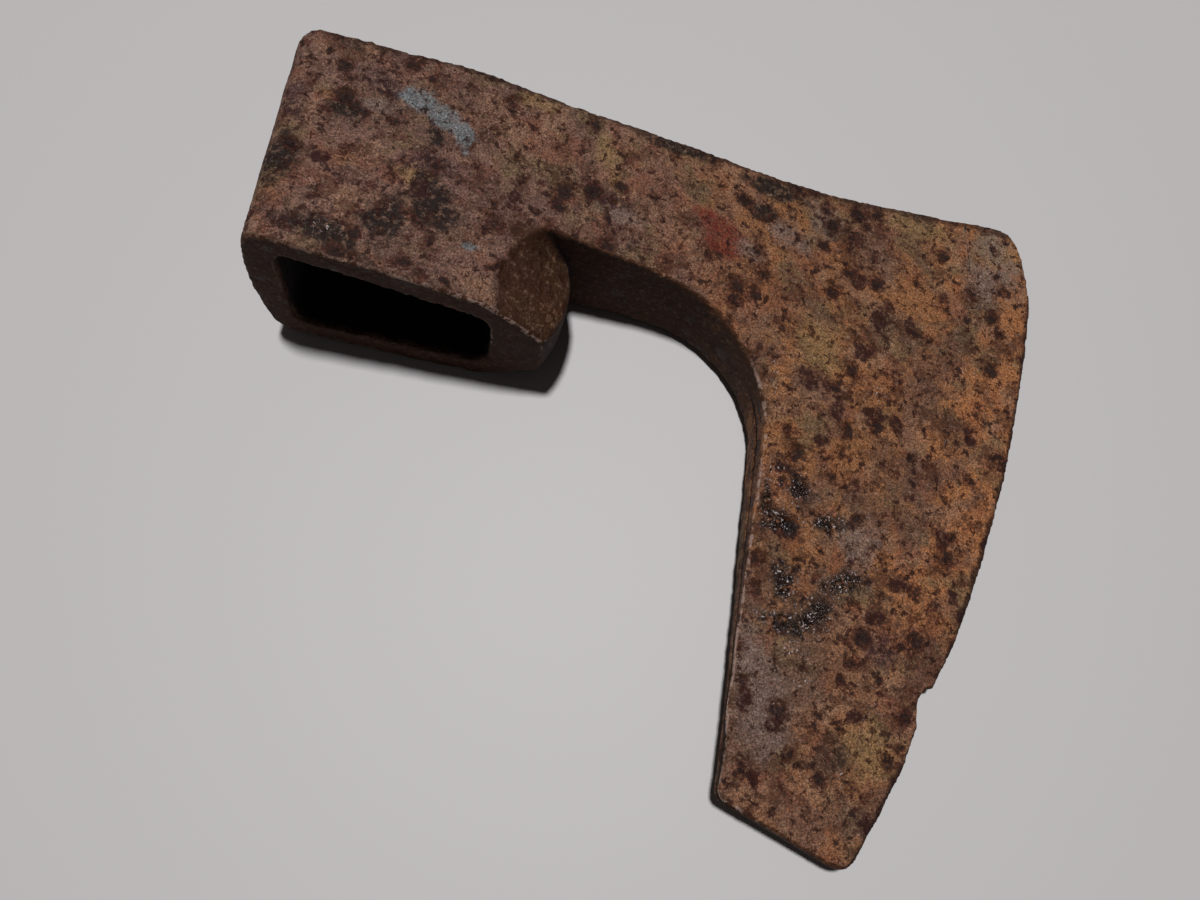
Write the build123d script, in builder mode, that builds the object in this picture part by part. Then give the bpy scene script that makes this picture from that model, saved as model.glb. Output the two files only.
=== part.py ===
"""Forged bearded hatchet head: a folded iron body with a steel bit welded into its cleft.

The head is drawn on its own mid-plane: u runs from the poll to the cutting edge, v runs up the
haft and w is the thickness. The head lies on its side, on its lower cheek and its cutting edge,
with the floor at Z = 0 and the origin under the middle of its box. Millimetres, +Z up.
"""
from build123d import *
import os
from math import cos, radians, sin

# Rest pose
rest_tilt = 7.5           # slope of the mid-plane, down from the poll to the edge, degrees
rest_height = 21.3        # height of the mid-plane over the floor at u = 0
centre_u = 76.28          # the point of the mid-plane above the origin
centre_v = -65.5

# Side view of the head
head_length = 155.0       # poll corners to the farthest point of the edge
poll_crown = 1.7          # the poll face bulges by this at its middle
top_dip = 1.2             # the top edge sags by this between poll and toe
toe_rise = 0.4
toe = (151.0, toe_rise)
toe_radius = 5.0
toe_middle = (154.0, -8.5)
edge_top = (head_length, -18.0)
edge_middle = (145.8, -69.0)
heel = (119.0, -132.8)
heel_radius = 3.5
beard_corner = (95.2, -123.2)
beard_corner_radius = 2.0
poll_top_radius = 9.0     # drawn on the block, which stands a little proud of the poll

# Underside of the neck, round the throat and down the inner edge of the beard
neck_start = (50.0, -28.8)
neck_middle = (72.0, -31.6)
throat_start = (83.0, -35.2)
throat_middle = (92.6, -43.8)
throat_end = (97.4, -60.0)

# Socket
rim_at_poll = 44.0        # socket height along the haft at the poll
rim_at_nose = 48.7        # and at the nose, because the rim slants
nose_u = 53.6
nose_bulge = (57.2, -39.0)
nose_root = (54.4, -27.0)
poll_corner_radius = 4.0

# Half thickness of the forging along u, at stations from the top edge down to the heel.
# Each row is v, then (u, half thickness) from the poll corner to just past the edge.
stations = (
    (6.0, ((0.5, 18.6), (20, 18.0), (35, 16.8), (50, 14.0), (65, 11.8),
           (80, 8.0), (95, 4.6), (112, 2.8), (136, 2.0), (157, 0.5))),
    (-34.0, ((0.5, 18.6), (20, 18.0), (35, 16.8), (50, 14.0), (65, 11.2),
             (80, 9.5), (95, 6.8), (112, 4.2), (136, 2.4), (157, 0.5))),
    (-56.0, ((0.5, 18.6), (20, 18.0), (35, 16.8), (50, 14.0), (65, 11.0),
             (80, 8.4), (95, 5.8), (112, 4.1), (132, 2.3), (152, 0.5))),
    (-82.0, ((0.5, 18.6), (20, 18.0), (35, 16.8), (50, 13.6), (65, 9.8),
             (80, 6.0), (96, 3.4), (110, 2.9), (126, 2.0), (144, 0.5))),
    (-138.0, ((0.5, 18.6), (20, 18.0), (35, 16.8), (50, 13.0), (65, 8.4),
              (80, 4.2), (93, 2.4), (101, 2.1), (110, 1.6), (121, 0.5))),
)

# Lower front of the socket: each cheek is drawn in to a narrow nose by a hollow facet.
# Each row is v, then the (u, w) where the facet leaves the cheek and where it meets the nose.
facet_rows = (
    (-27.0, (53.2, 13.6), (57.0, 0.5)),
    (-32.0, (46.9, 15.0), (56.6, 3.4)),
    (-39.0, (41.9, 16.3), (57.6, 4.6)),
    (-50.0, (43.2, 15.8), (54.6, 4.9)),
)
facet_reach = 6.0         # the cutter stands this far outside the metal

# Eye: a tapered slot with its wide end at the poll; (u, half width) at its two ends
eye_poll = (4.4, 13.8)
eye_front = (43.8, 10.0)
eye_poll_radius = 3.5
eye_front_radius = 5.0
eye_narrowing = 0.5       # the slot is this much smaller each side at the top edge

# Cleft for the bit: a wedge whose apex runs inside the blade, (u, v) from top to bottom
cleft_apex = ((127.0, 6.0), (119.0, -69.0), (99.0, -138.0))
cleft_slope = 0.155       # half thickness gained per millimetre from the apex

# Chip in the cutting edge, above the heel
chip = ((142.4, -83.0), (137.6, -93.0), (134.3, -99.6), (132.5, -100.1), (131.2, -102.2),
        (131.3, -107.0), (129.2, -113.0), (142.4, -113.0))

half_stock = 24.0         # half of the thickness of the blocks that outlines are drawn out to
block_start = -2 * poll_crown    # the blocks begin this far behind the poll corners
slot_overrun = 1.0        # the eye is cut this far past the metal at both mouths

tilt = radians(rest_tilt)
u_axis = Vector(cos(tilt), 0, -sin(tilt))
w_axis = Vector(sin(tilt), 0, cos(tilt))
mid_plane = Plane(
    origin=(-centre_u * cos(tilt), -centre_v, rest_height),
    x_dir=u_axis,
    z_dir=w_axis,
)


def station_plane(v):
    """The plane across the head at height v, with local x along u and local y along w."""
    return Plane(mid_plane.from_local_coords((0, v, 0)), x_dir=u_axis, z_dir=-mid_plane.y_dir)


# The thickness of the head, as a loft through closed sections across the haft direction
with BuildPart() as thickness:
    for v, half_widths in stations:
        lower = [(u, -h) for u, h in reversed(half_widths)]
        with BuildSketch(station_plane(v)) as section:
            with BuildLine():
                Spline(*half_widths)
                Line(half_widths[-1], lower[0])
                Spline(*lower)
                ThreePointArc(lower[-1], (-poll_crown, 0), half_widths[0])
            make_face()
            fillet(section.vertices().sort_by(Axis.X)[:2], radius=poll_corner_radius)
    loft()

# The socket, the neck and the blade, before the bit's cleft is opened
with BuildPart() as forging:
    rim_poll = (block_start, -rim_at_poll)
    rim_nose = (nose_u, -rim_at_nose)
    with BuildSketch(mid_plane):
        with BuildLine():
            Polyline((block_start, nose_root[1]), rim_poll, rim_nose)
            ThreePointArc(rim_nose, nose_bulge, nose_root)
            Line(nose_root, (block_start, nose_root[1]))
        make_face()
    extrude(amount=half_stock, both=True)
    for side in (1, -1):
        for v, on_cheek, on_nose in facet_rows:
            with BuildSketch(station_plane(v)):
                with BuildLine():
                    Polyline(
                        (on_cheek[0], side * on_cheek[1]),
                        (on_nose[0], side * on_nose[1]),
                        (on_nose[0] + facet_reach, side * on_nose[1]),
                        (on_nose[0] + facet_reach, side * (on_cheek[1] + facet_reach)),
                        (on_cheek[0], side * (on_cheek[1] + facet_reach)),
                        close=True,
                    )
                make_face()
        loft(mode=Mode.SUBTRACT)
    with BuildSketch(mid_plane) as outline:
        with BuildLine():
            top_start = (block_start, 0)
            Spline(top_start, (head_length / 2, -top_dip), toe)
            ThreePointArc(toe, toe_middle, edge_top)
            ThreePointArc(edge_top, edge_middle, heel)
            Line(heel, beard_corner)
            Line(beard_corner, throat_end)
            Spline(throat_end, throat_middle, throat_start, neck_middle, neck_start)
            Line(neck_start, (block_start, neck_start[1]))
            Line((block_start, neck_start[1]), top_start)
        make_face()
        rounded = (
            (top_start, poll_top_radius),
            (toe, toe_radius),
            (heel, heel_radius),
            (beard_corner, beard_corner_radius),
        )
        for corner, radius in rounded:
            fillet(outline.vertices().sort_by_distance(corner)[0], radius=radius)
    extrude(amount=half_stock, both=True)
    add(thickness.part, mode=Mode.INTERSECT)

    for v, shrink in ((-rim_at_nose - slot_overrun, 0), (toe_rise + slot_overrun, eye_narrowing)):
        with BuildSketch(station_plane(v)) as slot:
            with BuildLine():
                u0 = eye_poll[0] + shrink
                u1 = eye_front[0] - shrink
                h0 = eye_poll[1] - shrink
                h1 = eye_front[1] - shrink
                Polyline((u0, h0), (u0, -h0), (u1, -h1), (u1, h1), close=True)
            make_face()
            fillet(slot.vertices().group_by(Axis.X)[0], radius=eye_poll_radius)
            fillet(slot.vertices().group_by(Axis.X)[-1], radius=eye_front_radius)
    loft(mode=Mode.SUBTRACT)

# The wedge that parts the steel from the iron
with BuildPart() as cleft:
    reach = head_length + half_stock
    for apex_u, v in cleft_apex:
        with BuildSketch(station_plane(v)):
            with BuildLine():
                base = (reach - apex_u) * cleft_slope
                Polyline((apex_u, 0), (reach, -base), (reach, base), close=True)
            make_face()
    loft()

with BuildPart() as iron_body:
    add(forging.part)
    add(cleft.part, mode=Mode.SUBTRACT)
iron_body.part.label = "iron_body"

with BuildPart() as steel_bit:
    add(forging.part)
    add(cleft.part, mode=Mode.INTERSECT)
    with BuildSketch(mid_plane):
        with BuildLine():
            Polyline(*chip, close=True)
        make_face()
    extrude(amount=half_stock, both=True, mode=Mode.SUBTRACT)
steel_bit.part.label = "steel_bit"

os.makedirs("parts", exist_ok=True)
export_step(iron_body.part, "parts/iron_body.step")
export_step(steel_bit.part, "parts/steel_bit.step")
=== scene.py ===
"""The looks of a forged bearded hatchet head: pitted, rusted iron with a welded steel bit."""
from math import cos, radians, sin

import bmesh
import bpy
import numpy as np
from mathutils import Matrix, Vector


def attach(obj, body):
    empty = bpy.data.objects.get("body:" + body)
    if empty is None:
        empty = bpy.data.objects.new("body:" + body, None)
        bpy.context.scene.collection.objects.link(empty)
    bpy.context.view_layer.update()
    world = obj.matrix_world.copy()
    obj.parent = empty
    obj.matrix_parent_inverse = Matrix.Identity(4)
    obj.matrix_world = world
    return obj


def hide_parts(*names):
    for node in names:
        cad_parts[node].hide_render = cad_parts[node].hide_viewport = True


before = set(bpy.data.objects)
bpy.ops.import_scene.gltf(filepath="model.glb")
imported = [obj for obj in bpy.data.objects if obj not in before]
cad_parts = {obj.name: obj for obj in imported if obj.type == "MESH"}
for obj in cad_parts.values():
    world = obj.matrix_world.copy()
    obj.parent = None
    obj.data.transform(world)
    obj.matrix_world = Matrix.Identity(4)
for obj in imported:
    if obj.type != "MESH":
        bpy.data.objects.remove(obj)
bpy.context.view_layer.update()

MM = 0.001
SHIFTS = 4                # far places that the noises start from
SHIFT_STEP = (371.3, 917.9, 533.7)

# The head's own axes: u from the poll to the edge, v up the haft, w through the thickness
REST_TILT = radians(7.5)
MID_U = 76.28             # the point of the mid-plane above the row frame's origin
MID_V = -65.5
MID_HEIGHT = 11.34        # and its height over that origin

# The forging as a mesh
VOXEL = 0.5               # size of the remesh, mm
SOFTEN_STEPS = 2          # smoothing passes that round the arrises
SOFTEN_FACTOR = 0.5
BULGE_STEPS = 8           # passes of the blur that shows how convex the surface is
MESH_SHARE = 0.55         # share of the triangles kept
SHARP_ANGLE = radians(60)  # edges bent more than this are shaded sharp

# Heights of the forged and rusted surface over the plain one, mm
WAVES = 1.2               # slow hammer waves
DENTS = 0.7
SCALE_STEP = 0.07         # thickness of the flaking scale
PIT_DEPTHS = (-0.36, -0.26, -0.10)    # of the three sizes of pit
CHIP_DEPTH = -0.24        # on the arrises
SEAM_DEPTH = -0.40

# The cutting edge is an arc through these points
EDGE_POINTS = ((155.0, -18.0), (145.8, -69.0), (119.0, -132.8))

# The cleft that holds the bit: a wedge whose apex runs inside the blade
CLEFT_V = (6.0, -69.0, -138.0)
CLEFT_APEX_U = (127.0, 119.0, 99.0)
CLEFT_SLOPE = 0.155
CLEFT_REACH = 180.0
CLEFT_STATIONS = 25

# The eye: its middle along u, half sizes and depth
EYE_MIDDLE = 24.1
EYE_HALF_LENGTH = 19.7
EYE_HALF_WIDTH = 11.9     # at its middle
EYE_TAPER = 0.096         # half width lost per mm towards the front
EYE_DEPTH = 44.0          # at the poll
EYE_SLANT = 0.088         # depth gained per mm towards the front

# The top edge: u of its middle and how far it sags there
TOP_MIDDLE = 77.5
TOP_DIP = 1.2

# How base colours follow from the tones seen on the head
KEY_SHARE = 0.86          # base colour for each unit of light sent back
SHEEN = 0.010             # what the surface's own gloss adds
DARKEST = 0.002           # the least base colour

# The material's texture
RAGGEDNESS = 2.6          # how far noise pushes the patches' borders, in patch sizes
GRIT = 0.42               # height of the finest bumps, mm
BEADS = 0.8               # height of the beads in the tar, mm

# Tones seen on the head under the key lamp, each channel from 0 to 255
CHEEK_TONE = (110, 84, 75)
BLADE_TONE = (134, 92, 63)
BEARD_TONE = (98, 77, 67)
EDGE_TONE = (153, 102, 68)
LIGHT_GRAIN = (150, 122, 104)
DARK_GRAIN = (54, 38, 33)
OCHRE_TONE = (132, 107, 74)
RED_TONE = (98, 36, 27)
GREY_TONE = (113, 98, 92)
PURPLE_TONE = (56, 41, 45)
PAINT_TONE = (104, 114, 119)
CHARCOAL_TONE = (37, 32, 29)
SPOT_TONE = (54, 35, 34)
STAIN_TONE = (66, 37, 30)
PIT_TONE = (38, 21, 18)
TAR_TONE = (30, 18, 15)
# painted highlights: white glints in the tar and other glossy clusters
PAINTED_GLINT_TONE = (200, 188, 190)
# painted shade: a dark line along the top edge, where the rounded arris turns from the lamp
TOP_EDGE_SHADE_TONE = (46, 33, 31)
# painted shade on the faces turned from the lamp, such as the neck's underside and the eye's rim
UNDERSIDE_SHADE_TONE = (64, 42, 15)
# olive rust of the socket's front facet, made darker as painted shade
FACET_RUST_AND_SHADE_TONE = (62, 42, 17)
# painted shade: a thin dark line along the cutting edge
EDGE_LINE_SHADE_TONE = (42, 29, 30)
RIDGE_TONE = (108, 82, 68)
# the beard's polished arris: paler as wear and as a painted highlight
ARRIS_HIGHLIGHT_TONE = (158, 134, 124)
HOLLOW_TONE = (40, 28, 22)
SEAM_TONE = (26, 18, 16)
# painted shade: the walls of the eye near black
EYE_SHADE_TONE = (12, 8, 6)

# The ground's mottling: size in mm, seed, strength, tone and the levels of noise between which
# it sets in
MOTTLING = (
    (10, 31, 0.60, (94, 72, 65), 0.50, 0.62),
    (8, 32, 0.65, (130, 99, 80), 0.50, 0.62),
    (12, 33, 0.70, (104, 86, 64), 0.50, 0.62),
    (7, 34, 0.45, (112, 66, 50), 0.50, 0.62),
    (15, 35, 0.50, (84, 65, 58), 0.50, 0.62),
    (3.0, 36, 0.52, (74, 52, 44), 0.54, 0.60),
    (5.5, 37, 0.60, (66, 43, 36), 0.55, 0.60),
)

# Camera, light and floor
CAMERA_AT = (-6.42, -52.34, 172.84)    # mm
CAMERA_RIGHT = (0.9912, 0.1289, 0.0291)
CAMERA_UP = (-0.1316, 0.9411, 0.3116)
CAMERA_LENS = 27.0
SENSOR_WIDTH = 36.0
CLIP_START = 0.01                      # metres
CLIP_END = 20.0
KEY_AT = (-0.06, 0.17, 1.5)            # metres
KEY_SIZE = 0.13
KEY_POWER = 25.9
KEY_TINT = (1.0, 0.985, 0.97)
WORLD_TINT = (1.0, 0.94, 0.87, 1.0)
WORLD_STRENGTH = 0.05
FLOOR_REACH = 3.0
FLOOR_TONE = (169, 167, 169)
FLOOR_ROUGHNESS = 0.6


def srgb(tone):
    """A linear colour from 0 to 255 screen values."""
    channels = [c / 255 for c in tone]
    return [c / 12.92 if c <= 0.04045 else ((c + 0.055) / 1.055) ** 2.4 for c in channels] + [1.0]


def arc_centre(points):
    """Centre and radius of the circle through three points."""
    (x1, y1), (x2, y2), (x3, y3) = points
    rows = [[2 * (x2 - x1), 2 * (y2 - y1)], [2 * (x3 - x1), 2 * (y3 - y1)]]
    right = [x2**2 - x1**2 + y2**2 - y1**2, x3**2 - x1**2 + y3**2 - y1**2]
    centre = np.linalg.solve(rows, right)
    return centre, float(np.hypot(*(centre - points[0])))


EDGE_CENTRE, EDGE_RADIUS = arc_centre(EDGE_POINTS)


def to_row(u, v, w):
    """A point of the head, in mm, as a point of the row frame, in metres."""
    along = u - MID_U
    return Vector((
        along * cos(REST_TILT) + w * sin(REST_TILT),
        v - MID_V,
        MID_HEIGHT - along * sin(REST_TILT) + w * cos(REST_TILT),
    )) * MM


class Net:
    """Adds nodes to a tree. The same calls serve a geometry tree and a material."""

    def __init__(self, tree):
        self.tree = tree
        self.shifts = {}

    def put(self, socket, value):
        if isinstance(value, bpy.types.NodeSocket):
            self.tree.links.new(value, socket)
        else:
            socket.default_value = value

    def node(self, kind, inputs=(), **settings):
        made = self.tree.nodes.new(kind)
        for key, value in settings.items():
            setattr(made, key, value)
        for key, value in dict(inputs).items():
            self.put(made.inputs[key], value)
        return made

    def math(self, operation, a, b=0.0, c=0.0):
        return self.node("ShaderNodeMath", {0: a, 1: b, 2: c}, operation=operation).outputs[0]

    def vector(self, operation, a, b=(0.0, 0.0, 0.0)):
        made = self.node("ShaderNodeVectorMath", {0: a, 1: b}, operation=operation)
        return made.outputs["Value" if operation in ("LENGTH", "DOT_PRODUCT") else "Vector"]

    def scaled(self, a, factor):
        made = self.node("ShaderNodeVectorMath", {0: a, "Scale": factor}, operation="SCALE")
        return made.outputs["Vector"]

    def ramp(self, x, low, high, out_low=0.0, out_high=1.0):
        """A smooth step from out_low at low to out_high at high."""
        made = self.node(
            "ShaderNodeMapRange",
            {"Value": x, "From Min": low, "From Max": high, "To Min": out_low, "To Max": out_high},
            interpolation_type="SMOOTHSTEP",
        )
        return made.outputs["Result"]

    def far(self, at, seed):
        """The coordinates moved to one of a few far places, so that patterns differ.
        The moves are shared, because Cycles holds only so many values in one material."""
        key = (at.node.name, seed % SHIFTS)
        if key not in self.shifts:
            step = 1 + seed % SHIFTS
            self.shifts[key] = self.vector("ADD", at, tuple(step * c for c in SHIFT_STEP))
        return self.shifts[key]

    def noise(self, at, size, detail=2.0, roughness=0.5, seed=0, colour=False):
        """Noise from 0 to 1 whose largest features are about size mm apart."""
        inputs = {"Vector": self.far(at, seed), "Scale": 1 / size}
        inputs |= {"Detail": detail, "Roughness": roughness}
        return self.node("ShaderNodeTexNoise", inputs).outputs["Color" if colour else 0]

    def cells(self, at, size, seed=0):
        """Distance to the nearest scattered point, in cells, and that cell's own three numbers."""
        made = self.node("ShaderNodeTexVoronoi", {"Vector": self.far(at, seed), "Scale": 1 / size})
        return made.outputs["Distance"], made.outputs["Color"]

    def warp(self, at, size, amount, seed=0, detail=2.0):
        """The coordinates, pushed about by noise."""
        field = self.noise(at, size, detail, 0.55, seed, colour=True)
        push = self.vector("SUBTRACT", field, (0.5, 0.5, 0.5))
        return self.vector("ADD", at, self.scaled(push, amount))

    def mix(self, factor, a, b, blend="MIX"):
        made = self.node("ShaderNodeMix", data_type="RGBA", blend_type=blend)
        self.put(made.inputs[0], factor)
        self.put(made.inputs[6], a)
        self.put(made.inputs[7], b)
        return made.outputs[2]

    def graded(self, colour, factor, low, high):
        """The colour times low where factor is 0 and times high where it is 1."""
        dimmed = self.mix(1.0, colour, (low, low, low, 1.0), "MULTIPLY")
        gain = high / low
        return self.mix(factor, dimmed, (gain, gain, gain, 1.0), "MULTIPLY")

    def head(self, position):
        """Head coordinates in mm, from a place in the row frame."""
        inputs = {"Vector": self.scaled(position, 1 / MM)}
        inputs |= {"Center": (0, 0, MID_HEIGHT), "Angle": -REST_TILT}
        turned = self.node("ShaderNodeVectorRotate", inputs, rotation_type="Y_AXIS")
        return self.vector("ADD", turned.outputs[0], (MID_U, MID_V, -MID_HEIGHT))

    def split(self, at):
        return self.node("ShaderNodeSeparateXYZ", {0: at}).outputs

    def edge_distance(self, at):
        """How far a place is behind the cutting edge, in mm."""
        flat = self.vector("MULTIPLY", at, (1, 1, 0))
        away = self.vector("SUBTRACT", flat, (*EDGE_CENTRE, 0))
        return self.math("SUBTRACT", EDGE_RADIUS, self.vector("LENGTH", away))


def times(net, a, b):
    return net.math("MULTIPLY", a, b)


def both(net, a, b):
    return net.math("MAXIMUM", a, b)


# What the rust has done, as masks that the mesh and the material share

def pit_mask(net, at, size, reach, share, seed):
    """Scattered ragged pits, size mm apart and up to reach cells across; share of the cells have one.
    Gives the pit's floor and its wider stained rim, each from 0 to 1."""
    bent = net.warp(at, size * 0.5, size * 0.4, seed + 1)
    torn = net.warp(bent, size * 0.14, size * 0.22, seed + 4, 3.0)
    distance, own = net.cells(torn, size, seed)
    numbers = net.split(own)
    radius = net.math("MULTIPLY_ADD", numbers[0], reach * 0.75, reach * 0.25)
    frayed = net.math("MULTIPLY_ADD", net.noise(at, size * 0.12, 4.0, 0.7, seed + 2), 2.4, -1.2)
    inside = net.math("ADD", frayed, net.math("SUBTRACT", 1.0, net.math("DIVIDE", distance, radius)))
    present = net.math("LESS_THAN", numbers[1], share)
    return [times(net, net.ramp(inside, *span), present) for span in ((0.1, 0.4), (-0.3, 0.1))]


def speckle(net, at, size, level, seed):
    """Small ragged pits of every shape, where noise stands over a level: their floors and rims."""
    field = net.noise(at, size, 5.0, 0.68, seed)
    return [net.ramp(field, level + step, level + step + 0.03) for step in (0.045, 0.005)]


def pits(net, at):
    """Pits of three sizes: their floors and their stained rims."""
    crowd = net.ramp(net.noise(at, 26, 2.0, 0.5, 7), 0.38, 0.62, 0.35, 0.85)
    return (
        pit_mask(net, at, 5.2, 0.42, crowd, 1),
        speckle(net, at, 4.0, 0.580, 2),
        speckle(net, at, 1.7, 0.575, 3),
    )


def seam_mask(net, at):
    """The forge weld where the folded leaves meet on the inner edge of the beard."""
    u, v, w = net.split(at)
    wobble = net.math("MULTIPLY_ADD", net.noise(at, 9, 2.0, 0.5, 61), 0.8, 0.1)
    line = net.ramp(net.math("ABSOLUTE", net.math("SUBTRACT", w, wobble)), 0.65, 0.2)
    return times(net, line, times(net, net.ramp(v, -47.0, -53.0), net.ramp(u, 100.5, 98.5)))


def relief(net, at, bulge, broad):
    """Height of the forged and rusted surface over the plain one, in mm. bulge is how convex the
    plain one is there, and broad runs from 0 on the narrow faces to 1 on the cheeks."""
    calm = net.math("MULTIPLY_ADD", broad, 0.6, 0.4)
    stout = times(net, net.ramp(net.edge_distance(at), 0.0, 45.0, 0.12, 1.0), calm)
    waves = net.math("SUBTRACT", net.noise(at, 40, 1.0, 0.5, 5), 0.5)
    height = times(net, waves, times(net, stout, WAVES))
    dents = net.math("SUBTRACT", net.noise(at, 14, 1.0, 0.4, 6), 0.5)
    height = net.math("MULTIPLY_ADD", dents, times(net, stout, DENTS), height)
    rough = net.math("SUBTRACT", net.noise(at, 3.6, 4.0, 0.66, 8), 0.5)
    height = net.math("MULTIPLY_ADD", rough, net.math("MULTIPLY_ADD", stout, 0.3, 0.25), height)
    scale = net.ramp(net.noise(at, 6.0, 4.0, 0.6, 4), 0.49, 0.53)
    height = net.math("MULTIPLY_ADD", scale, SCALE_STEP, height)
    deep = times(net, net.math("MULTIPLY_ADD", stout, 0.5, 0.5), calm)
    for (_, stain), depth in zip(pits(net, at), PIT_DEPTHS):
        height = net.math("MULTIPLY_ADD", stain, times(net, deep, depth), height)
    broken = net.ramp(net.noise(at, 2.6, 3.0, 0.6, 10), 0.50, 0.72)
    chips = times(net, net.ramp(bulge, 0.10, 0.30), broken)
    height = net.math("MULTIPLY_ADD", chips, times(net, deep, CHIP_DEPTH), height)
    return net.math("MULTIPLY_ADD", seam_mask(net, at), SEAM_DEPTH, height)


# Places on the upper cheek: (u, v), then the patch's two half sizes and its turn in degrees
CHARCOAL = (
    ((30, -31.5), (4.5, 5.5), 30),
    ((22.5, -36), (4.5, 4.0), 0),
    ((13, -41), (7.0, 2.6), -10),
    ((3.0, -28.5), (2.6, 5.0), 0),
    ((12.5, -16), (3.6, 1.8), -10),
    ((28.5, -17.5), (1.6, 2.4), 25),
    ((96, -4.5), (6.0, 2.6), -5),
    ((94, -11), (3.2, 2.2), 20),
    ((74, -2.6), (6.0, 1.5), 0),
)
PURPLE = (
    ((17.5, -9), (3.6, 2.6), -20),
    ((2.5, -16), (2.4, 3.4), 0),
    ((28, -23), (6.0, 2.2), 10),
    ((62, -19), (4.0, 2.2), 0),
    ((124, -94), (3.6, 3.4), 0),
)
DARK_SPOTS = (
    ((120.5, -28.5), (2.4, 2.4), 0),
    ((116, -20.5), (2.0, 1.6), 20),
    ((116.7, -37), (1.4, 2.2), 30),
    ((105.5, -45.5), (2.6, 2.2), 0),
    ((112, -50), (1.5, 3.0), 10),
    ((120, -49.5), (2.6, 1.8), -20),
    ((27.5, -29), (2.0, 2.0), 0),
    ((109, -57), (1.6, 1.6), 0),
    ((141, -50.5), (1.8, 1.4), 0),
    ((125, -50.5), (1.2, 2.4), 20),
    ((147, -25), (1.0, 2.2), -20),
    ((127, -28), (1.0, 2.0), 0),
    ((135, -71), (1.6, 2.0), 0),
    ((126, -82), (2.6, 1.5), 0),
    ((137.5, -82), (2.0, 1.4), 0),
    ((122, -89), (2.2, 1.4), 0),
    ((99, -106), (1.6, 2.0), 0),
    ((104.5, -110), (1.8, 1.5), 0),
    ((119, -106.5), (1.7, 1.5), 0),
    ((101.5, -119), (1.4, 2.0), 0),
    ((122, -124.5), (2.6, 1.8), 30),
    ((44, -25), (1.2, 1.5), -20),
    ((10, -27), (1.8, 1.3), 0),
)
SMEAR = (
    ((24.0, -10.5), (3.6, 2.3), -30),
    ((29.0, -13.0), (4.4, 2.2), -25),
    ((33.0, -15.5), (1.8, 3.2), 15),
    ((38, -37.3), (1.6, 0.9), 10),
)
RED = (((81.5, -16.5), (3.4, 1.8), -30), ((86, -20.5), (4.6, 3.6), -30))
OCHRE = (
    ((60, -9), (2.0, 3.6), 20),
    ((63, -16), (1.1, 5.0), 20),
    ((45, -3.5), (3.4, 1.6), 0),
    ((26, -26), (3.0, 2.2), 0),
    ((108, -38), (4.6, 5.0), -20),
    ((130, -4), (7.0, 2.6), -5),
    ((147, -6), (5.5, 4.5), 0),
    ((122, -112), (5.0, 5.0), 0),
)
BLUE_GREY = (
    ((146, -4.5), (4.6, 3.4), 20),
    ((144.5, -14), (3.6, 5.0), 0),
    ((118, -75.5), (3.6, 4.2), 0),
    ((99, -98), (2.6, 5.0), 0),
    ((102, -107), (4.5, 8.0), 10),
    ((149, -10), (3.4, 3.6), 0),
    ((99, -15), (4.5, 3.0), -20),
    ((91, -21), (3.0, 2.0), 0),
    ((108, -8), (3.4, 4.0), 0),
    ((64, -21.5), (4.5, 1.4), -5),
    ((17, -13.5), (4.0, 1.4), 5),
)
TAR = (
    ((115.5, -83.5), (4.6, 2.2), 20),
    ((110.5, -90), (3.0, 3.4), 0),
    ((104, -85), (2.4, 3.6), 0),
    ((104.5, -92), (4.6, 1.6), -15),
    ((105.5, -67.5), (2.4, 3.2), 30),
    ((102, -74), (3.8, 2.2), 0),
    ((112, -73), (3.2, 2.2), 0),
    ((99, -70), (1.0, 4.0), 0),
)
# Places where glints are painted into the colour
GLINTS = (
    ((9, -32.5), (1.2, 1.0), 0),
    ((21, -30), (1.0, 0.8), 0),
    ((13.5, -40), (3.0, 1.2), -10),
    ((37, -13.5), (0.9, 0.8), 0),
    ((109, -101.5), (1.6, 1.2), 20),
    ((116.5, -116.5), (1.5, 1.0), 0),
    ((120.5, -45), (1.2, 1.4), 0),
    ((101, -66), (2.4, 4.0), 0),
    ((98.5, -47), (0.8, 3.4), 10),
    ((107, -97), (2.4, 1.6), 0),
)

# The places' fields are worked out on the mesh, three to an attribute, to keep the material small
PLACE_SETS = {
    "scale_paint": (CHARCOAL, PURPLE, SMEAR),
    "stains": (OCHRE, RED, BLUE_GREY),
    "spots_tar_glints": (DARK_SPOTS, TAR, GLINTS),
}


def place_field(net, at, upper, places):
    """1 in the middle of each place, 0 at its border and less outside; only on the upper cheek."""
    total = None
    for (u, v), (long, short), turn in places:
        moved = net.vector("SUBTRACT", at, (u, v, 0))
        inputs = {"Vector": moved, "Angle": radians(-turn)}
        turned = net.node("ShaderNodeVectorRotate", inputs, rotation_type="Z_AXIS")
        local = net.vector("DIVIDE", turned.outputs[0], (long, short, 1000))
        inside = net.math("SUBTRACT", 1.0, net.vector("LENGTH", local))
        total = inside if total is None else both(net, total, inside)
    return net.math("SUBTRACT", both(net, total, -3.0), net.math("MULTIPLY_ADD", upper, -4.0, 4.0))


# Mesh work

def mesh_object(name, mesh):
    made = bpy.data.objects.new(name, mesh)
    bpy.context.scene.collection.objects.link(made)
    return made


def applied(obj):
    """Replaces obj's mesh with the one its modifiers give."""
    depsgraph = bpy.context.evaluated_depsgraph_get()
    mesh = bpy.data.meshes.new_from_object(
        obj.evaluated_get(depsgraph), preserve_all_data_layers=True, depsgraph=depsgraph
    )
    obj.modifiers.clear()
    old = obj.data
    obj.data = mesh
    bpy.data.meshes.remove(old)
    return obj


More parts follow.
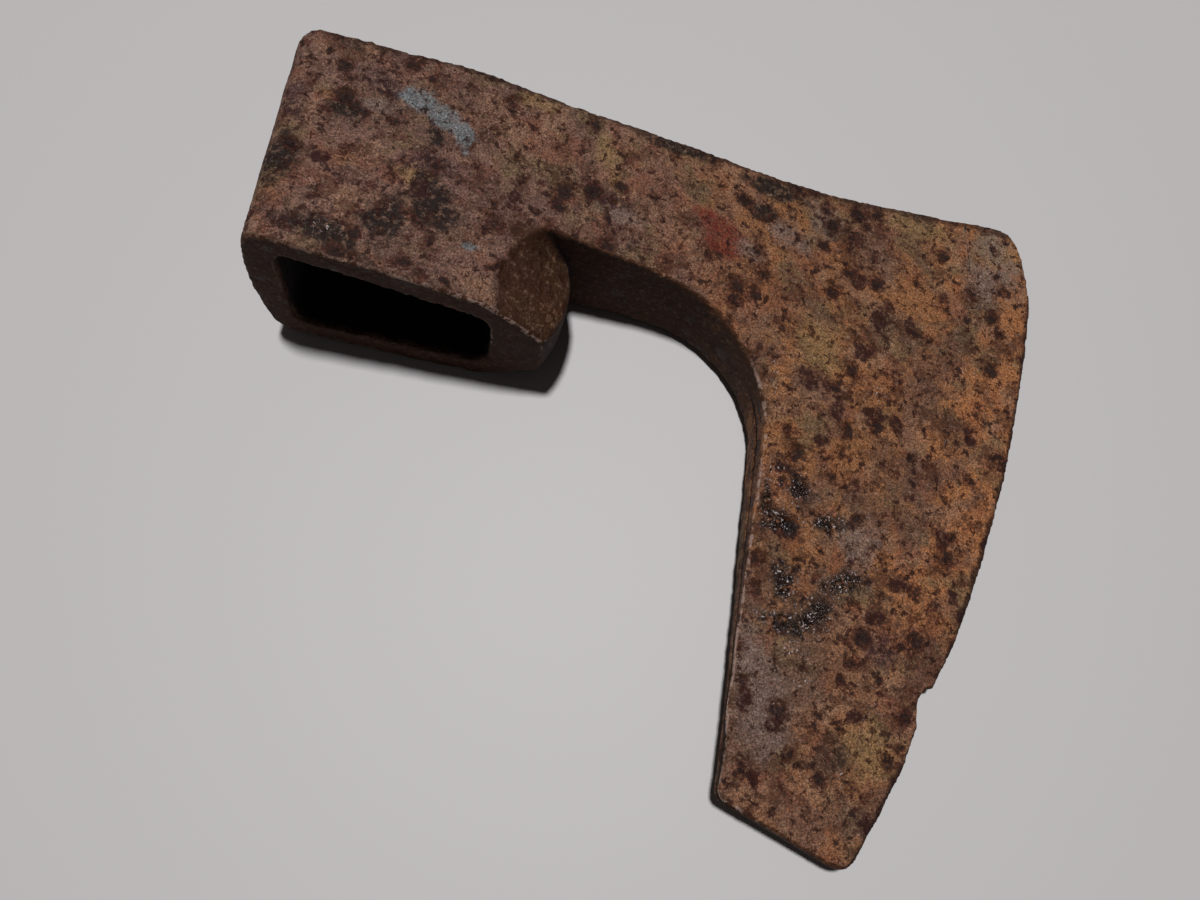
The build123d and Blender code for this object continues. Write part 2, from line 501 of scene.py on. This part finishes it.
def joined_copy(nodes):
    """One mesh object from copies of several CAD nodes."""
    points, faces = [], []
    for node in nodes:
        first = len(points)
        points += [v.co[:] for v in node.data.vertices]
        faces += [[first + i for i in p.vertices] for p in node.data.polygons]
    mesh = bpy.data.meshes.new("forging")
    mesh.from_pydata(points, [], faces)
    return mesh_object("forging", mesh)


def largest_shell(obj):
    """Drops every loose shell of obj's mesh but the largest."""
    mesh = obj.data
    edges = np.zeros(len(mesh.edges) * 2, np.int32)
    mesh.edges.foreach_get("vertices", edges)
    ends = edges.reshape(-1, 2)
    label = np.arange(len(mesh.vertices))
    while True:
        low = np.minimum(label[ends[:, 0]], label[ends[:, 1]])
        fresh = label.copy()
        np.minimum.at(fresh, ends[:, 0], low)
        np.minimum.at(fresh, ends[:, 1], low)
        fresh = fresh[fresh]
        if (fresh == label).all():
            break
        label = fresh
    names, counts = np.unique(label, return_counts=True)
    if len(names) == 1:
        return obj
    keep = label == names[counts.argmax()]
    bm = bmesh.new()
    bm.from_mesh(mesh)
    bm.verts.ensure_lookup_table()
    bmesh.ops.delete(bm, geom=[v for v in bm.verts if not keep[v.index]], context="VERTS")
    bm.to_mesh(mesh)
    bm.free()
    return obj


def shown(sockets, name):
    """The socket of that name which the node's settings leave in use."""
    return next(s for s in sockets if s.name == name and s.enabled)


def stored(net, geometry, name, value, data_type):
    """The geometry with the value kept on its points under a name."""
    made = net.node(
        "GeometryNodeStoreNamedAttribute",
        {"Geometry": geometry, "Name": name},
        data_type=data_type,
        domain="POINT",
    )
    net.put(shown(made.inputs, "Value"), value)
    return made.outputs[0]


def blurred(net, value, steps):
    """A vector of the points averaged with their neighbours' steps times."""
    made = net.node("GeometryNodeBlurAttribute", {"Iterations": steps}, data_type="FLOAT_VECTOR")
    net.put(shown(made.inputs, "Value"), value)
    return shown(made.outputs, "Value")


def relief_tree():
    """Geometry nodes that keep on the mesh how convex the plain surface is, in mm, and the places'
    fields, and then raise the surface by the relief."""
    tree = bpy.data.node_groups.new("forged_relief", "GeometryNodeTree")
    tree.interface.new_socket("Geometry", in_out="INPUT", socket_type="NodeSocketGeometry")
    tree.interface.new_socket("Geometry", in_out="OUTPUT", socket_type="NodeSocketGeometry")
    net = Net(tree)
    start = net.node("NodeGroupInput")
    position = net.node("GeometryNodeInputPosition").outputs[0]
    normal = net.node("GeometryNodeInputNormal").outputs[0]
    away = net.vector("SUBTRACT", position, blurred(net, position, BULGE_STEPS))
    bulge = times(net, net.vector("DOT_PRODUCT", normal, away), 1 / MM)
    geometry = stored(net, start.outputs[0], "arris", bulge, "FLOAT")
    at = net.head(position)
    upper = net.ramp(net.split(at)[2], -0.4, 0.4)
    for name, sets in PLACE_SETS.items():
        fields = [place_field(net, at, upper, places) for places in sets]
        joined = net.node("ShaderNodeCombineXYZ", dict(enumerate(fields))).outputs[0]
        geometry = stored(net, geometry, name, joined, "FLOAT_VECTOR")
    kept = net.node("GeometryNodeInputNamedAttribute", {"Name": "arris"}, data_type="FLOAT")
    across = net.vector("DOT_PRODUCT", normal, (sin(REST_TILT), 0, cos(REST_TILT)))
    broad = net.ramp(net.math("ABSOLUTE", across), 0.3, 0.8)
    height = relief(net, at, shown(kept.outputs, "Attribute"), broad)
    offset = net.scaled(normal, times(net, height, MM))
    moved = net.node("GeometryNodeSetPosition", {"Geometry": geometry, "Offset": offset})
    end = net.node("NodeGroupOutput")
    tree.links.new(moved.outputs[0], end.inputs[0])
    return tree


def forged_body():
    """The whole head as one closed mesh with its forged and rusted surface."""
    body = joined_copy(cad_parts.values())
    remesh = body.modifiers.new("remesh", "REMESH")
    remesh.mode = "VOXEL"
    remesh.voxel_size = VOXEL * MM
    applied(body)
    largest_shell(body)
    soften = body.modifiers.new("soften", "SMOOTH")
    soften.factor = SOFTEN_FACTOR
    soften.iterations = SOFTEN_STEPS
    raised = body.modifiers.new("relief", "NODES")
    raised.node_group = relief_tree()
    fewer = body.modifiers.new("fewer", "DECIMATE")
    fewer.ratio = MESH_SHARE
    return applied(body)


def cleft_wedge():
    """The wedge that parts the bit from the body."""
    curve = np.polyfit(CLEFT_V, CLEFT_APEX_U, 2)
    points, faces = [], []
    stations = np.linspace(max(CLEFT_V), min(CLEFT_V), CLEFT_STATIONS)
    for v in stations:
        apex = float(np.polyval(curve, v))
        half = (CLEFT_REACH - apex) * CLEFT_SLOPE
        points += [to_row(apex, v, 0), to_row(CLEFT_REACH, v, half), to_row(CLEFT_REACH, v, -half)]
    for i in range(0, 3 * (CLEFT_STATIONS - 1), 3):
        for a, b in ((0, 1), (1, 2), (2, 0)):
            faces.append((i + a, i + 3 + a, i + 3 + b, i + b))
    last = 3 * (CLEFT_STATIONS - 1)
    faces += [(0, 1, 2), (last + 2, last + 1, last)]
    mesh = bpy.data.meshes.new("cleft")
    mesh.from_pydata(points, [], faces)
    return mesh_object("cleft", mesh)


def cut(body, wedge, operation, name):
    """A piece of the body: what the wedge holds, or the rest."""
    piece = mesh_object(name, body.data.copy())
    boolean = piece.modifiers.new("cut", "BOOLEAN")
    boolean.operation = operation
    boolean.object = wedge
    boolean.solver = "MANIFOLD"
    applied(piece)
    piece.data.polygons.foreach_set("use_smooth", [True] * len(piece.data.polygons))
    piece.data.set_sharp_from_angle(angle=SHARP_ANGLE)
    return piece


# Material

def lit(tone):
    """Base colour of a rough surface that has this tone under the key lamp."""
    return [max(c * KEY_SHARE - SHEEN, DARKEST) for c in srgb(tone)[:3]] + [1.0]


def coated(net, colour, tone, mask, strength):
    """The colour covered with a tone as far as the mask and the strength say."""
    return net.mix(times(net, mask, strength), colour, lit(tone))


def rust_ground(net, at, edge):
    """The mottled brown of the rust, before pits and patches."""
    u, v, _ = net.split(at)
    blade = net.ramp(net.math("MULTIPLY_ADD", net.noise(at, 18, 2.0, 0.5, 21), 40.0, u), 70.0, 125.0)
    colour = net.mix(blade, lit(CHEEK_TONE), lit(BLADE_TONE))
    low = net.ramp(net.math("MULTIPLY_ADD", net.noise(at, 16, 2.0, 0.5, 22), 24.0, v), -64.0, -88.0)
    colour = coated(net, colour, BEARD_TONE, low, 0.8)
    band = net.ramp(net.math("MULTIPLY_ADD", net.noise(at, 13, 3.0, 0.6, 23), -34.0, edge), 12.0, -9.0)
    colour = coated(net, colour, EDGE_TONE, band, net.math("MULTIPLY_ADD", low, -0.35, 0.85))
    for size, seed, strength, tone, start, full in MOTTLING:
        spread = net.ramp(net.noise(at, size, 4.0, 0.6, seed), start, full)
        colour = coated(net, colour, tone, spread, strength)
    return colour


def facing(net, direction, low, high):
    """1 where the surface looks along a direction of the row frame."""
    normal = net.node("ShaderNodeNewGeometry").outputs["Normal"]
    return net.ramp(net.vector("DOT_PRODUCT", normal, direction), low, high)


def eye_mask(net, at):
    """1 on the walls of the eye, fading at its mouths."""
    u, v, w = net.split(at)
    ends = net.math("ABSOLUTE", net.math("SUBTRACT", u, EYE_MIDDLE))
    wall = net.math("MULTIPLY_ADD", net.math("SUBTRACT", u, EYE_MIDDLE), -EYE_TAPER, EYE_HALF_WIDTH)
    beyond = net.math("SUBTRACT", net.math("ABSOLUTE", w), wall)
    within = net.ramp(ends, EYE_HALF_LENGTH + 1.2, EYE_HALF_LENGTH + 0.6)
    inside = times(net, within, net.ramp(beyond, 1.6, 0.8))
    from_rim = net.math("MULTIPLY_ADD", u, EYE_SLANT, net.math("ADD", v, EYE_DEPTH))
    return times(net, inside, times(net, net.ramp(from_rim, 0.0, 1.6), net.ramp(v, -2.0, -8.0)))


def stored_fields(net, name):
    """The three fields of the places in one attribute."""
    return net.split(net.node("ShaderNodeAttribute", attribute_name=name).outputs["Vector"])


def torn_mask(net, field, ragged, soft=0.45):
    """1 inside ragged places."""
    return net.ramp(net.math("ADD", field, ragged), -soft, soft)


def patch_layers(net, colour, at, grain, ragged):
    """Ochre, red, grey, purple and painted patches, and charcoal-black scale.
    Also gives the mask of the scale."""
    charcoal, purple, smear = stored_fields(net, "scale_paint")
    ochre, red, grey = stored_fields(net, "stains")
    ochre = torn_mask(net, ochre, ragged, 0.6)
    colour = coated(net, colour, OCHRE_TONE, ochre, 0.6)
    red = torn_mask(net, red, ragged)
    colour = coated(net, colour, RED_TONE, red, net.ramp(grain, 0.42, 0.56, 0.35, 0.95))
    grey = torn_mask(net, grey, ragged, 0.6)
    colour = coated(net, colour, GREY_TONE, grey, net.ramp(grain, 0.35, 0.65, 0.4, 0.85))
    purple = torn_mask(net, purple, ragged, 0.6)
    colour = coated(net, colour, PURPLE_TONE, purple, net.ramp(grain, 0.65, 0.40, 0.3, 0.95))
    smear = torn_mask(net, smear, ragged, 0.3)
    colour = coated(net, colour, PAINT_TONE, smear, net.ramp(grain, 0.34, 0.60, 0.45, 0.88))
    scattered = net.ramp(net.noise(at, 13, 5.0, 0.65, 43), 0.62, 0.66)
    charcoal = both(net, torn_mask(net, charcoal, ragged, 0.35), times(net, scattered, 0.7))
    charcoal = times(net, charcoal, net.ramp(grain, 0.68, 0.46, 0.55, 0.95))
    return net.mix(charcoal, colour, lit(CHARCOAL_TONE)), charcoal


def shade_highlight_and_wear(net, colour, at, edge, grain, upper):
    """Paints shade on the narrow faces (the top edge, the faces turned from the lamp, the facet over
    its olive rust and the cutting edge) and in the eye, darkens the hollows and the weld seam, and
    brightens the worn arrises.
    Also gives the mask of the beard's polished arris, where a highlight is painted."""
    u, v, w = net.split(at)
    across = net.math("DIVIDE", net.math("SUBTRACT", u, TOP_MIDDLE), TOP_MIDDLE)
    sag = net.math("MULTIPLY_ADD", times(net, across, across), -TOP_DIP, TOP_DIP)
    wavering = net.math("MULTIPLY_ADD", net.noise(at, 4.0, 4.0, 0.6, 62), 4.0, -2.0)
    from_top = net.math("ADD", net.math("ADD", v, sag), wavering)
    # Painted shade along the top edge
    top_edge_shade = net.ramp(from_top, -1.9, -0.7)
    colour = coated(net, colour, TOP_EDGE_SHADE_TONE, top_edge_shade, net.ramp(grain, 0.66, 0.5, 0.45, 0.72))
    # Painted shade on the faces that turn away from the lamp
    turned_from_lamp = facing(net, (0, -1, 0), 0.12, 0.42)
    colour = coated(net, colour, UNDERSIDE_SHADE_TONE, turned_from_lamp, net.ramp(grain, 0.64, 0.48, 0.5, 0.93))
    # The socket's front facet: its olive rust and painted shade
    facet = times(net, net.ramp(v, -27.5, -31.0), net.ramp(u, 42.5, 45.0))
    facet = times(net, facet, times(net, net.ramp(u, 63.0, 60.0), net.ramp(w, 15.3, 14.2)))
    colour = coated(net, colour, FACET_RUST_AND_SHADE_TONE, facet, net.ramp(grain, 0.62, 0.48, 0.3, 0.88))
    # Painted shade along the cutting edge
    edge_line_shade = net.ramp(net.math("ADD", edge, wavering), 1.6, 0.4)
    colour = coated(net, colour, EDGE_LINE_SHADE_TONE, edge_line_shade, 0.8)
    worn = net.node("ShaderNodeAttribute", attribute_name="arris").outputs["Fac"]
    ridge = times(net, net.ramp(worn, 0.14, 0.40), net.ramp(grain, 0.4, 0.6, 0.1, 0.7))
    colour = coated(net, colour, RIDGE_TONE, ridge, 0.3)
    # The beard's polished arris, paler as wear and as a painted highlight
    beard = times(net, net.ramp(v, -42.0, -50.0), net.ramp(u, 101.0, 99.0))
    beard = times(net, beard, net.ramp(net.noise(at, 1.6, 4.0, 0.7, 63), 0.46, 0.54))
    polished_arris_highlight = times(net, times(net, beard, net.ramp(worn, 0.16, 0.26)), upper)
    colour = coated(net, colour, ARRIS_HIGHLIGHT_TONE, polished_arris_highlight, 0.8)
    hollow = net.ramp(worn, -0.06, -0.2)
    colour = coated(net, colour, HOLLOW_TONE, hollow, 0.7)
    colour = coated(net, colour, SEAM_TONE, seam_mask(net, at), 0.85)
    # Painted shade inside the eye
    return coated(net, colour, EYE_SHADE_TONE, eye_mask(net, at), 0.92), polished_arris_highlight


def rust_material(name):
    """Rust in layers: mottled ground, grain, patches of scale and paint, pits and tar, with painted
    glints, a painted highlight and painted shade.
    """
    material = bpy.data.materials.new(name)
    material.use_nodes = True
    tree = material.node_tree
    tree.nodes.clear()
    net = Net(tree)
    at = net.head(net.node("ShaderNodeTexCoord").outputs["Object"])
    upper = net.ramp(net.split(at)[2], -0.4, 0.4)
    edge = net.edge_distance(at)
    ragged = net.math("MULTIPLY_ADD", net.noise(at, 3.2, 6.0, 0.62, 41), RAGGEDNESS, -RAGGEDNESS / 2)

    grain = net.noise(at, 1.1, 5.0, 0.75, 42)
    speck = net.noise(at, 0.42, 2.0, 0.6, 45)
    colour, charcoal = patch_layers(net, rust_ground(net, at, edge), at, grain, ragged)
    colour = net.mix(net.ramp(grain, 0.50, 0.74, 0.0, 0.5), colour, lit(LIGHT_GRAIN))
    colour = net.mix(net.ramp(grain, 0.48, 0.28, 0.0, 0.55), colour, lit(DARK_GRAIN))
    colour = net.graded(colour, net.ramp(speck, 0.28, 0.72), 0.55, 1.5)
    colour = net.graded(colour, net.ramp(net.noise(at, 0.24, 0.0, 0.5, 48), 0.2, 0.8), 0.6, 1.4)

    pocks = pits(net, at)
    spots, tar, glints = stored_fields(net, "spots_tar_glints")
    spots = torn_mask(net, spots, ragged, 0.2)
    stain = both(net, both(net, pocks[0][1], pocks[1][1]), pocks[2][1])
    floor = both(net, both(net, pocks[0][0], pocks[1][0]), pocks[2][0])
    colour = coated(net, colour, SPOT_TONE, spots, net.ramp(grain, 0.64, 0.46, 0.45, 0.95))
    colour = coated(net, colour, STAIN_TONE, stain, 0.74)
    colour = coated(net, colour, PIT_TONE, floor, 0.8)
    tar = torn_mask(net, tar, ragged, 0.6)
    tar = times(net, tar, net.ramp(net.noise(at, 2.4, 5.0, 0.75, 44), 0.41, 0.47))
    colour = coated(net, colour, TAR_TONE, tar, 0.9)

    # Painted highlights: white glint specks in the tar and the glint places
    glint_specks = net.ramp(net.noise(at, 0.5, 2.0, 0.6, 49), 0.61, 0.67)
    glints = times(net, torn_mask(net, glints, ragged, 0.6), net.ramp(grain, 0.42, 0.5))
    glint_specks = times(net, glint_specks, both(net, tar, glints))
    colour = coated(net, colour, PAINTED_GLINT_TONE, glint_specks, 0.85)
    colour, polished_arris_highlight = shade_highlight_and_wear(net, colour, at, edge, grain, upper)

    shader = net.node("ShaderNodeBsdfPrincipled")
    out = net.node("ShaderNodeOutputMaterial")
    tree.links.new(shader.outputs[0], out.inputs[0])
    net.put(shader.inputs["Base Color"], colour)
    gloss = both(net, tar, times(net, both(net, times(net, charcoal, upper), floor), 0.4))
    gloss = both(net, both(net, gloss, glint_specks), times(net, polished_arris_highlight, 0.7))
    net.put(shader.inputs["Roughness"], net.math("MULTIPLY_ADD", gloss, -0.62, 0.80))
    shader.inputs["Specular IOR Level"].default_value = 0.2

    # Cycles copies all that is behind a bump's height three times, so the gloss drives the strength
    fine = net.noise(at, 0.8, 5.0, 0.7, 53)
    pricked = net.math("MULTIPLY_ADD", speckle(net, at, 1.7, 0.575, 3)[1], -0.4, fine)
    rough = net.node("ShaderNodeBump", {"Height": pricked, "Strength": 1.0, "Distance": GRIT * MM})
    beads = net.noise(at, 0.9, 2.0, 0.5, 51)
    beaded = net.node(
        "ShaderNodeBump",
        {"Height": beads, "Strength": gloss, "Distance": BEADS * MM, "Normal": rough.outputs[0]},
    )
    tree.links.new(beaded.outputs[0], shader.inputs["Normal"])
    return material


# Scene

def place_camera():
    data = bpy.data.cameras.new("camera")
    data.lens = CAMERA_LENS
    data.sensor_width = SENSOR_WIDTH
    data.clip_start = CLIP_START
    data.clip_end = CLIP_END
    camera = bpy.data.objects.new("camera", data)
    bpy.context.scene.collection.objects.link(camera)
    right = Vector(CAMERA_RIGHT).normalized()
    up = Vector(CAMERA_UP)
    up = (up - right * up.dot(right)).normalized()
    turn = Matrix((right, up, right.cross(up))).transposed()
    camera.matrix_world = Matrix.Translation(Vector(CAMERA_AT) * MM) @ turn.to_4x4()
    bpy.context.scene.camera = camera


def place_key():
    """The one lamp, high up and aimed at the origin."""
    data = bpy.data.lights.new("key", "AREA")
    data.shape = "DISK"
    data.size = KEY_SIZE
    data.energy = KEY_POWER
    data.color = KEY_TINT
    light = bpy.data.objects.new("key", data)
    bpy.context.scene.collection.objects.link(light)
    light.location = KEY_AT
    light.rotation_euler = (-Vector(KEY_AT)).to_track_quat("-Z", "Y").to_euler()


def place_world():
    """A faint warm fill from all round."""
    world = bpy.data.worlds.new("world")
    world.use_nodes = True
    background = world.node_tree.nodes["Background"]
    background.inputs[0].default_value = WORLD_TINT
    background.inputs[1].default_value = WORLD_STRENGTH
    bpy.context.scene.world = world


def place_floor():
    signs = ((-1, -1), (1, -1), (1, 1), (-1, 1))
    mesh = bpy.data.meshes.new("floor")
    mesh.from_pydata([(x * FLOOR_REACH, y * FLOOR_REACH, 0) for x, y in signs], [], [(0, 1, 2, 3)])
    floor = mesh_object("floor", mesh)
    material = bpy.data.materials.new("floor")
    material.use_nodes = True
    shader = material.node_tree.nodes["Principled BSDF"]
    shader.inputs["Base Color"].default_value = srgb(FLOOR_TONE)
    shader.inputs["Roughness"].default_value = FLOOR_ROUGHNESS
    mesh.materials.append(material)


body = forged_body()
wedge = cleft_wedge()
iron = cut(body, wedge, "DIFFERENCE", "iron_body_forged")
bit = cut(body, wedge, "INTERSECT", "steel_bit_forged")
for scrap in (body, wedge):
    bpy.data.objects.remove(scrap)
for piece, node, slot in ((iron, "iron_body", "forged_iron"), (bit, "steel_bit", "edge_steel")):
    piece.data.materials.clear()
    piece.data.materials.append(rust_material(slot))
    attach(piece, "root")
    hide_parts(node)

place_camera()
place_key()
place_world()
place_floor()
bpy.context.scene.view_settings.view_transform = "Standard"
